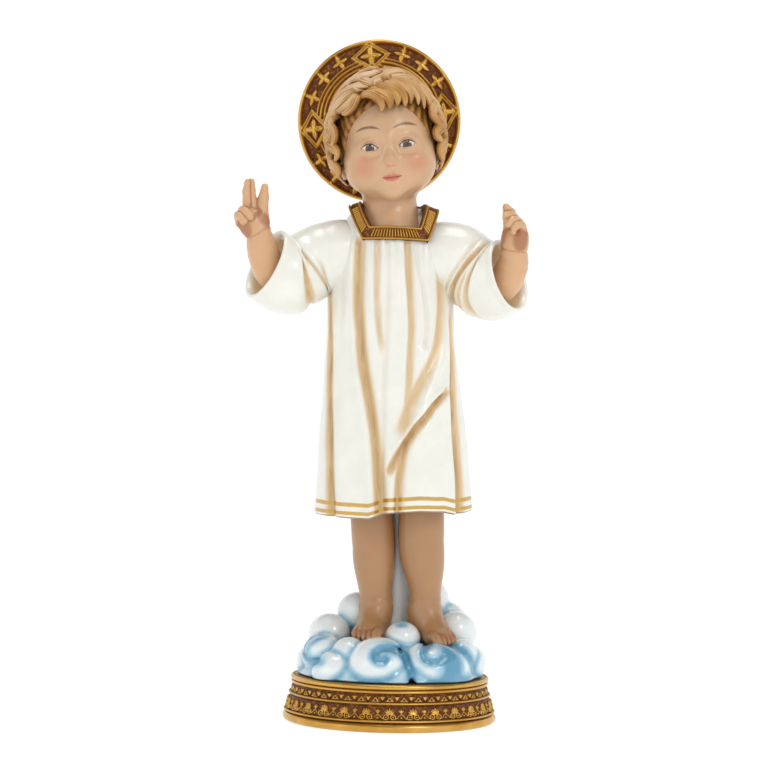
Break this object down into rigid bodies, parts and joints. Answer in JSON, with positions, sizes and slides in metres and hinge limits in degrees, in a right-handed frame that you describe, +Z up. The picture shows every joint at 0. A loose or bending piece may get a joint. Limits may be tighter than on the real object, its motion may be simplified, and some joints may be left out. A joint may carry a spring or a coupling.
{
  "type": "child jesus statuette",
  "caption": "Painted statuette of the Child Jesus standing on clouds with raised hands, halo disc behind the head, on a round plinth; stands free as a devotional figure",
  "frame": {"origin": "centre of the round plinth's underside, on the ground", "axes": "+Z up, -Y the way the child faces, +X towards the child's left hand"},
  "size_m": [0.1279, 0.0934, 0.3011],
  "materials": {
    "pearl_paint": "cast resin painted in satin pearl white with ochre shading in the folds",
    "antique_gold": "cast resin with rubbed antique gold paint over a brown ground",
    "skin_paint": "cast resin painted in satin flesh tones",
    "hair_paint": "cast resin painted golden brown with pale brushed highlights",
    "cloud_paint": "cast resin painted white with pale blue sprayed into the creases"
  },
  "bodies": {
    "root": {"child_figure": "pearl_paint", "halo": "antique_gold", "plinth": "antique_gold"}
  },
  "joints": []
}
